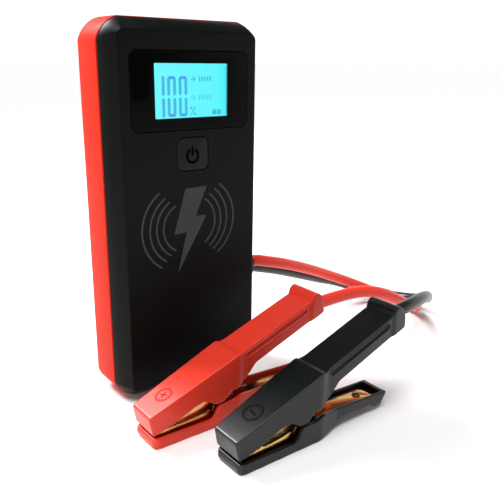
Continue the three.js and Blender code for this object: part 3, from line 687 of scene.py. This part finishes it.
BOLT = [(-4.9, 110.6), (8.1, 110.8), (1.1, 95.7), (7.9, 95.5), (-10.3, 66.7), (-4.5, 87.9), (-12.0, 87.6)]
WAVES = [
    [(-20.2, 109.8), (-30.3, 90.9), (-19.8, 71.4)], [(-17.0, 106.9), (-25.8, 92.4), (-17.1, 74.4)],
    [(-14.5, 104.7), (-22.0, 92.6), (-14.4, 77.1)], [(-11.1, 102.3), (-18.0, 92.7), (-11.3, 79.2)],
    [(16.0, 111.0), (25.1, 92.7), (14.9, 74.2)], [(13.2, 108.6), (20.7, 92.5), (12.0, 76.3)],
    [(9.8, 106.3), (16.8, 92.3), (9.6, 78.4)], [(7.1, 103.9), (13.1, 92.8), (6.8, 80.9)],
]


def make_print():
    """The wireless charging mark: a bolt between two sets of waves, printed on the front."""
    outlines = [eased(BOLT, 0.4, 2)] + [stroke(arc_through(*wave), 1.0) for wave in WAVES]
    mark = joined([prism(outline, "y", FRONT - 0.03, FRONT + 0.2) for outline in outlines])
    piece(mark, "charging_mark", FINISH["print"])


# ------------------------------------------------------------------ leads and their boot

LEAD_R = 3.5
INSIDE_BOOT = 3.5
RED_ROUTE = [
    (52.7, 3.8, 56.3), (57.5, 3.8, 56), (64, 3.9, 54.2), (80, 5.2, 49.3), (104, 8.7, 40.2),
    (126.5, 12.3, 30.6), (145.1, 13.5, 22.3), (163.2, 9.9, 13.8), (175.3, 1.3, 7.6), (181.3, -10, 4.3),
    (180.7, -21.8, 4.9), (173.4, -32, 9.2), (160.7, -40, 15.2), (146.9, -46.2, 21.4),
    (135.2, -50.1, 26.8), (123.9, -52.5, 32.8), (110.9, -53.2, 39.4), (98, -52.2, 43.6), (87, -50.9, 45),
    (76.8, -50, 45.1), (66, -49.6, 44.9), (59, -49.5, 44.6), (53, -49.5, 44.6), (45.5, -49.5, 44.6),
]
BLACK_ROUTE = [
    (52.7, 9.2, 51), (57.5, 9.3, 50.7), (64, 9.6, 48.9), (80, 10.9, 43.8), (104, 14.4, 34.7),
    (127, 18.6, 25.7), (146.5, 21.8, 18.4), (164.3, 20.1, 11.2), (179.3, 12.4, 5.9), (189, -0.7, 4.1),
    (191.1, -14.7, 6.4), (186.2, -27.5, 11.5), (174.4, -39.1, 18), (160.6, -48.7, 24.3),
    (147.5, -57.7, 30.4), (136, -65.7, 35.8), (123.5, -74, 41.4), (111, -80.4, 45.6), (98, -85.2, 47.8),
    (87, -87.7, 48.4), (79, -88.3, 47.8), (73, -88.3, 46.9), (65.5, -88.3, 46),
]


def make_lead(colour, route):
    inside_boot = Vector(route[0]) - Vector((INSIDE_BOOT, 0, 0))
    path = smooth_path([inside_boot, *route])
    lead = piece(tube(path, LEAD_R), f"{colour}_flex", FINISH[f"{colour}_jacket"], None, angle=60)
    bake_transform(lead)
    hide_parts(f"{colour}_lead")
    return lead, [tuple(p * MM) for p in path]


def make_boot():
    """The short moulded sleeve that both leads come out of, with two grooves round it."""
    side = WIDTH / 2
    length = BOOT["out"] - side
    rings = []
    steps = 44
    for i in range(steps + 1):
        place = GAP + (length - GAP) * i / steps
        share = max(0.0, (place - 2.5) / (length - 2.5))
        w = BOOT["base"][0] + (BOOT["end"][0] - BOOT["base"][0]) * share
        h = BOOT["base"][1] + (BOOT["end"][1] - BOOT["base"][1]) * share
        groove = sum(math.exp(-((place - middle) / 0.4) ** 2) for middle in BOOT["grooves"])
        edge = max(0.0, 0.5 - (place - GAP)) * 0.8
        rounding = max(0.0, place - (length - 0.8)) * 0.8
        inset = 0.75 * groove + edge + rounding
        corner, middle = BOOT["corner"] - inset, (BOOT["y"], BOOT["z"])
        outline = rounded_rect(w - 2 * inset, h - 2 * inset, corner, middle, 10)
        rings.append([(side + place, y, z) for y, z in outline])
    sleeve = loft(rings)
    collar_r, out = LEAD_R + 0.55, BOOT["out"]
    profile = [
        (collar_r, out - 3.0), (collar_r, out + 0.1), (collar_r - 0.25, out + 0.3), (LEAD_R, out + 0.35)]
    collars = [turned(profile, "x", (0, *route[0][1:]), 36) for route in (RED_ROUTE, BLACK_ROUTE)]
    piece(joined([sleeve, *collars]), "lead_sleeve", FINISH["boot"], replaces=["lead_boot"],
          angle=50)


# ------------------------------------------------------------------ clamps
# A clamp's own frame: x from the jaw tip to the handle end, y across, z up.

PLACE = {"red": (-51.0, -49.5, 0.0), "black": (-31.0, -88.3, 0.0)}
PIVOT = (43.0, 14.0)
SLOPE = 0.375
LEVER_TILT = math.atan(SLOPE)
BLOCK_TOP, BLOCK_END, HANDLE_STEP, HANDLE_END = 17.6, 47.5, 1.2, 105.0
COVER_WALL = 2.0
TIP_HALF, BLOCK_HALF, HANDLE_HALF, TRAY_HALF = 8.1, 10.2, 8.8, 7.6
RIVET_X = 82.0
GROOVE = {"ends": (54.6, 92.2), "down": 3.4, "w": 3.0, "deep": 0.9, "bead": 0.38}
SOFTENING = {"voxel": 0.3, "passes": 5, "kept_share": 0.3}


def block_top(x):
    return BLOCK_TOP + SLOPE * x


def handle_top(x):
    return block_top(x) - HANDLE_STEP


def grip_top(x):
    """The handle's moulded top, which sinks a little towards its end."""
    return handle_top(x) - 0.025 * (x - BLOCK_END)


UPPER_RIVET_Z = handle_top(RIVET_X) - 4
LOWER_RIVET_Z = 6.3
LEAD_IN_GRIP_Z = 46.9
COIL_R = 3.4


def across(profile, ease=0.0):
    """A side view's outline as a solid wider than the clamp."""
    return prism(eased(profile, ease) if ease else profile, "y", -14, 14)


def plan(halves, low, high, ease=0.0):
    """A solid from half widths along X, seen from above."""
    outline = list(halves) + [(x, -y) for x, y in reversed(halves)]
    return prism(eased(outline, ease) if ease else outline, "z", low, high)


def upper_grip():
    """The upper lever's cover: a jaw block, a step down to the handle, and a raised collar at its end."""
    profile = [
        (0, 6.9), (10, 9.6), (22, 14.8), (27, 16.2), (31.2, 14.6), (34.3, 12.2), (39.5, 12.8),
        (41.8, 16.6), (45.5, 17.2), (49, 17.7), (55.5, 22.7), (59.4, 27.1), (HANDLE_END + 1.2, 43.9),
        (HANDLE_END + 1.4, 44.8), (104.8, 50.2), (102.8, 54.0), (100.8, 55.4), (98.4, 55.1),
        (96.9, 53.7), (96.1, 52.2), (95.6, grip_top(95.6)), (BLOCK_END + 1.8, grip_top(BLOCK_END + 1.8)),
        (BLOCK_END, block_top(BLOCK_END)), (-2, block_top(-2))]
    grip = common(across(profile, ease=1.3), plan([
        (-3, TIP_HALF - 1), (-1, TIP_HALF + 0.1), (BLOCK_END - 3, BLOCK_HALF), (BLOCK_END, BLOCK_HALF),
        (BLOCK_END + 4.5, HANDLE_HALF), (95.4, HANDLE_HALF), (97, HANDLE_HALF + 0.8),
        (HANDLE_END + 1, HANDLE_HALF + 0.8)], -1, 60, 2.0))
    roof = COVER_WALL + GAP
    channel = common(across([
        (2.2, -1), (96, -1), (96, handle_top(96) - roof),
        (BLOCK_END + 4, handle_top(BLOCK_END + 4) - roof),
        (BLOCK_END, block_top(BLOCK_END) - roof), (2.2, block_top(2.2) - roof)]), plan([
            (1, TIP_HALF - 1.5), (BLOCK_END - 0.5, BLOCK_HALF - COVER_WALL),
            (BLOCK_END + 3.5, HANDLE_HALF - COVER_WALL), (97, HANDLE_HALF - COVER_WALL)], -2, 60))
    line = [(x, grip_top(x) - GROOVE["down"]) for x in GROOVE["ends"]]
    groove = stroke(line, GROOVE["w"], 12)
    floor = HANDLE_HALF - GROOVE["deep"]
    grooves = [prism(groove, "y", -12, -floor), prism(groove, "y", floor, 12)]
    room = LEAD_R + 0.3
    notch = rod("x", 95, HANDLE_END + 3, (0, LEAD_IN_GRIP_Z), room)
    slot = box((95, -room, 30), (HANDLE_END + 3, room, LEAD_IN_GRIP_Z))
    body = softened(cut(grip, channel, *grooves, notch, slot), **SOFTENING)
    edge = stroke(line, GROOVE["w"] + 0.5, 12)
    beads = []
    for wall in (0.05 - HANDLE_HALF, HANDLE_HALF - 0.05):
        beads.append(tube([Vector((x, wall, z)) for x, z in edge + edge[:2]], GROOVE["bead"], 10))
    return joined([body, *beads])


def lower_grip():
    profile = [
        (2.2, 0), (45.5, 0), (58.5, 3.6), (64, 5.6), (84.5, 4.6), (87.5, 2.3), (92.5, 2.5), (97.2, 8.8),
        (58, 11.2), (49.5, 12.9), (43.7, 11.3), (38, 11.5), (35.6, 10.6), (33.6, 6.4), (31.5, 4.8),
        (0.3, 5.4), (-0.6, 2.6), (0.3, 0.6)]
    grip = common(across(profile, ease=1.6), plan([
        (-1, TIP_HALF - 1.6), (0.6, TIP_HALF + 0.4), (3, TIP_HALF + 1), (BLOCK_END, BLOCK_HALF + 0.1),
        (60, TRAY_HALF + 0.1), (96.2, TRAY_HALF + 0.1), (98, TRAY_HALF - 1)], -1, 20, 1.2))
    tray = common(across([
        (2.4, 2), (46, 2), (58.5, 5.5), (64, 7.4), (93.5, 5.9), (93.5, 30), (2.4, 30)]), plan([
            (1, TIP_HALF - 1.1), (BLOCK_END, BLOCK_HALF - COVER_WALL), (60, TRAY_HALF - 1.5),
            (95, TRAY_HALF - 1.5)], -1, 40))
    return softened(cut(grip, tray), **SOFTENING)


def spring_wire():
    turns, per_turn, coil, reach = 3.2, 36, COIL_R, 2.1
    start = math.radians(100)
    count = round(turns * per_turn)
    points = []
    for i in range(count + 1):
        angle = start - 2 * math.pi * turns * i / count
        points.append((
            PIVOT[0] + coil * math.cos(angle), -reach + 2 * reach * i / count,
            PIVOT[1] + coil * math.sin(angle)))
    upper = [(58, -reach, 33.1), (54, -reach, 27.6), (50, -reach, 22.5)]
    lower = [(52, reach, 9.2), (57, reach, 9.3), (61, reach, 9.4)]
    return tube(smooth_path([*upper, *points, *lower], 3), 0.65, 10)


def coiled_spring(colour, place):
    """The spring as one still piece, riding on no body, in place of the CAD spring."""
    spring = piece(spring_wire(), f"{colour}_spring_wire", FINISH["steel"], None, angle=60, offset=place)
    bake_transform(spring)
    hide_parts(f"{colour}_spring")
    return spring


def rivet(z, half, tilt=0.0):
    dome = [(2.2 * math.cos(t), half + 0.9 * math.sin(t)) for t in (0.0, 0.3, 0.6, 0.9, 1.2, 1.45)]
    foot = [(0.2, -half - 0.9), (1.7, -half - 0.85), (2.2, -half - 0.4), (2.2, -half), (1.2, -half)]
    return turned([*foot, (1.2, half), *dome], "z", (RIVET_X, 0, z), 28, tilt)


def pivot_pin():
    side, end = 6.4, 7.5
    half = [
        (1.9, side), (3.0, side), (3.0, end - 0.5), (2.8, end - 0.15), (2.4, end), (0.9, end),
        (0.7, end - 0.3)]
    profile = [(r, -t) for r, t in reversed(half)] + half
    return turned(profile, "y", (PIVOT[0], 0, PIVOT[1]), 40)


# Where each clamp's mark sits along the jaw block, its turn on it in degrees, and its size.
MARK = {"red": (10.6, 25, 0.84), "black": (13.6, 78, 1.0)}


def polarity_mark(colour):
    """Two rings and a plus or minus sign on the jaw block's sloping top, just proud of it. They stand for
    engraved grooves, and their darker colour is painted shade.
    """
    x, spin, size = MARK[colour]
    signs = [stroke([(-1.9, 0), (1.9, 0)], 1.3, 6)]
    if colour == "red":
        signs = [stroke([(-2.2, 0), (2.2, 0)], 0.9, 6), stroke([(0, -2.2), (0, 2.2)], 0.9, 6)]
    shapes = [turned_ring(4.8, 0.4, 0.14), turned_ring(3.8, 0.18, 0.12)]
    mark = joined(shapes + [prism(outline, "z", -0.3, 0.13) for outline in signs])
    lean = Matrix.Rotation(-LEVER_TILT, 4, "Y")
    turn = Matrix.Rotation(math.radians(spin), 4, "Z")
    mark.data.transform(Matrix.Translation((x, 0, block_top(x))) @ lean @ turn @ Matrix.Scale(size, 4))
    return mark


def turned_ring(middle, half, proud):
    """A flat ring about Z, with rounded edges."""
    sides = 64
    section = [(-half, -0.3), (-half, proud * 0.5), (-half * 0.6, proud), (half * 0.6, proud),
               (half, proud * 0.5), (half, -0.3)]
    rings = []
    for i in range(sides):
        t = 2 * math.pi * i / sides
        rings.append([((middle + r) * math.cos(t), (middle + r) * math.sin(t), z) for r, z in section])
    n = len(section)
    faces = []
    for i in range(sides):
        for k in range(n):
            a, b = i * n, ((i + 1) % sides) * n
            faces.append((a + k, a + (k + 1) % n, b + (k + 1) % n, b + k))
    return solid([p for ring in rings for p in ring], faces)


def make_clamp(colour, upper_mesh, lower_mesh):
    grip, lever = f"{colour}_grip", f"{colour}_upper_lever"
    place = PLACE[colour]
    finish = FINISH[grip]

    def copy_of(mesh):
        thing = bpy.data.objects.new("solid", mesh.copy())
        bpy.context.scene.collection.objects.link(thing)
        return thing

    pieces = [
        piece(
            copy_of(upper_mesh), f"{colour}_upper_grip", finish, lever, [f"{colour}_upper_cover"],
            60, place),
        piece(
            copy_of(lower_mesh), f"{colour}_lower_grip", finish, "root", [f"{colour}_lower_cover"],
            60, place),
        # The mark's darker colour is painted shade for the engraved grooves that it stands for.
        piece(polarity_mark(colour), f"{colour}_polarity_mark", FINISH[f"{colour}_mark"], lever,
              offset=place),
        piece(pivot_pin(), f"{colour}_pin", FINISH["steel"], "root", [f"{colour}_pivot_pin"],
              offset=place),
        coiled_spring(colour, place),
        piece(rivet(UPPER_RIVET_Z, 1.5, -LEVER_TILT), f"{colour}_rivet_upper", FINISH["rivet_metal"],
              lever, [f"{colour}_upper_rivet"], offset=place),
        piece(rivet(LOWER_RIVET_Z, 1.95), f"{colour}_rivet_lower", FINISH["rivet_metal"], "root",
              [f"{colour}_lower_rivet"], offset=place),
    ]
    for node, body in (("upper_jaw", lever), ("lower_jaw", "root")):
        plate = chamfered(node_solid(f"{colour}_{node}"), 0.16, 2, 25)
        metal_finish = FINISH["jaw_metal"]
        pieces.append(piece(
            plate, f"{colour}_{node}_plate", metal_finish, body, [f"{colour}_{node}"]))
    pieces.append(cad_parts[f"{colour}_cable_lug"])
    return pieces


# ------------------------------------------------------------------ small parts and carried-over nodes


def make_fittings():
    seat = BACK - SCREW_SEAT + GAP
    for i, (x, z) in enumerate(SCREWS):
        head = turned([(0.2, seat), (2.6, seat), (2.6, seat + 1.2), (2.3, seat + 1.6), (1.6, seat + 1.7),
                       (0.2, seat + 1.7)], "y", (x, 0, z), 40)
        arm, half = 1.5, 0.36
        head = cut(
            head, box((x - arm, seat + 0.7, z - half), (x + arm, seat + 3, z + half)),
            box((x - half, seat + 0.7, z - arm), (x + half, seat + 3, z + arm)))
        shank = rod("y", -4.5, seat + 0.1, (x, z), 1.3, 24)
        piece(joined([head, shank]), f"screw_{i + 1}", FINISH["steel"],
              replaces=[f"case_screw_{i + 1}"])
    for name in ("usb_a", "usb_c"):
        shell = chamfered(node_solid(f"{name}_port"), 0.12, 2, 25)
        piece(shell, f"{name}_shell", FINISH["steel"], replaces=[f"{name}_port"])
    r = TORCH["r"]
    lens = turned([(0.2, HEIGHT - 2.4), (r, HEIGHT - 2.4), (r, HEIGHT - 0.5), (r - 0.3, HEIGHT - 0.15),
                   (r - 0.9, HEIGHT), (r - 1.2, HEIGHT - 0.25), (2.0, HEIGHT - 0.1), (0.2, HEIGHT)],
                  "z", (TORCH["x"], TORCH["y"], 0), 56)
    piece(lens, "torch_window", FINISH["lens"], replaces=["torch_lens"])


CARRIED = {
    "lcd_panel": "lcd", "backlight": "diffuser", "tact_switch": "steel", "main_board": "board",
    "cell_1": "cell", "cell_2": "cell", "cell_3": "cell", "cell_foam": "foam", "charge_coil": "copper",
    "coil_ferrite": "ferrite", "terminal_positive": "copper", "terminal_negative": "copper",
    "torch_led": "diffuser", "red_cable_lug": "copper", "black_cable_lug": "copper",
}


def finish_carried():
    for node, finish in CARRIED.items():
        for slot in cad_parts[node].material_slots:
            slot.material = FINISH[finish]


# ------------------------------------------------------------------ floor and light


def area_light(name, place, target, size, power):
    data = bpy.data.lights.new(name, "AREA")
    data.shape = "RECTANGLE"
    data.size, data.size_y = size
    data.energy = power
    light = bpy.data.objects.new(name, data)
    light.location = place
    light.rotation_euler = (Vector(target) - Vector(place)).to_track_quat("-Z", "Y").to_euler()
    bpy.context.scene.collection.objects.link(light)


def make_sky():
    """A white horizon that fades to a dim grey above, and is a little dimmer in front of the pack."""
    world = bpy.data.worlds.new("studio")
    world.use_nodes = True
    tree = world.node_tree
    background = tree.nodes["Background"]
    split = tree.nodes.new("ShaderNodeSeparateXYZ")
    tree.links.new(tree.nodes.new("ShaderNodeTexCoord").outputs["Generated"], split.inputs["Vector"])

    def ramp(output, ends, values):
        node = tree.nodes.new("ShaderNodeMapRange")
        node.interpolation_type = "SMOOTHSTEP"
        for name, value in zip(("From Min", "From Max", "To Min", "To Max"), (*ends, *values)):
            node.inputs[name].default_value = value
        tree.links.new(output, node.inputs["Value"])
        return node.outputs["Result"]

    product = tree.nodes.new("ShaderNodeMath")
    product.operation = "MULTIPLY"
    tree.links.new(ramp(split.outputs["Z"], (0.28, 0.6), (1.1, 0.07)), product.inputs[0])
    tree.links.new(ramp(split.outputs["Y"], (-0.93, -0.72), (0.08, 1.1)), product.inputs[1])
    tree.links.new(product.outputs["Value"], background.inputs["Strength"])
    background.inputs["Color"].default_value = (1, 1, 1, 1)
    bpy.context.scene.world = world


def make_stage():
    size = 30.0
    mesh = bpy.data.meshes.new("floor")
    corners = [(-size, -size, 0), (size, -size, 0), (size, size, 0), (-size, size, 0)]
    mesh.from_pydata(corners, [], [(0, 1, 2, 3)])
    floor = bpy.data.objects.new("floor", mesh)
    bpy.context.scene.collection.objects.link(floor)
    pale = bpy.data.materials.new("floor_finish")
    pale.use_nodes = True
    shader = pale.node_tree.nodes["Principled BSDF"]
    shader.inputs["Base Color"].default_value = (0.88, 0.88, 0.88, 1)
    shader.inputs["Roughness"].default_value = 0.8
    shader.inputs["Specular IOR Level"].default_value = 0.1
    mesh.materials.append(pale)
    make_sky()
    data = bpy.data.lights.new("overhead", "SUN")
    data.energy = 2.8
    data.angle = math.radians(36)
    sun = bpy.data.objects.new("overhead", data)
    sun.rotation_euler = Vector((0.2, 0.12, -1)).to_track_quat("-Z", "Y").to_euler()
    bpy.context.scene.collection.objects.link(sun)
    area_light("back_softbox", (-0.32, 0.74, 0.9), (-0.02, -0.09, 0.03), (0.4, 0.5), 20.0)


# ------------------------------------------------------------------ the whole

bpy.context.scene.view_settings.view_transform = "Standard"
make_camera()
make_stage()
red_lead, red_path = make_lead("red", RED_ROUTE)
black_lead, black_path = make_lead("black", BLACK_ROUTE)
make_boot()
make_front()
make_back()
make_window()
make_reading()
make_button()
make_print()
make_fittings()
upper, lower = upper_grip(), lower_grip()
red_pieces = make_clamp("red", upper.data, lower.data)
black_pieces = make_clamp("black", upper.data, lower.data)
for used in (upper, lower):
    bpy.data.objects.remove(used)
finish_carried()
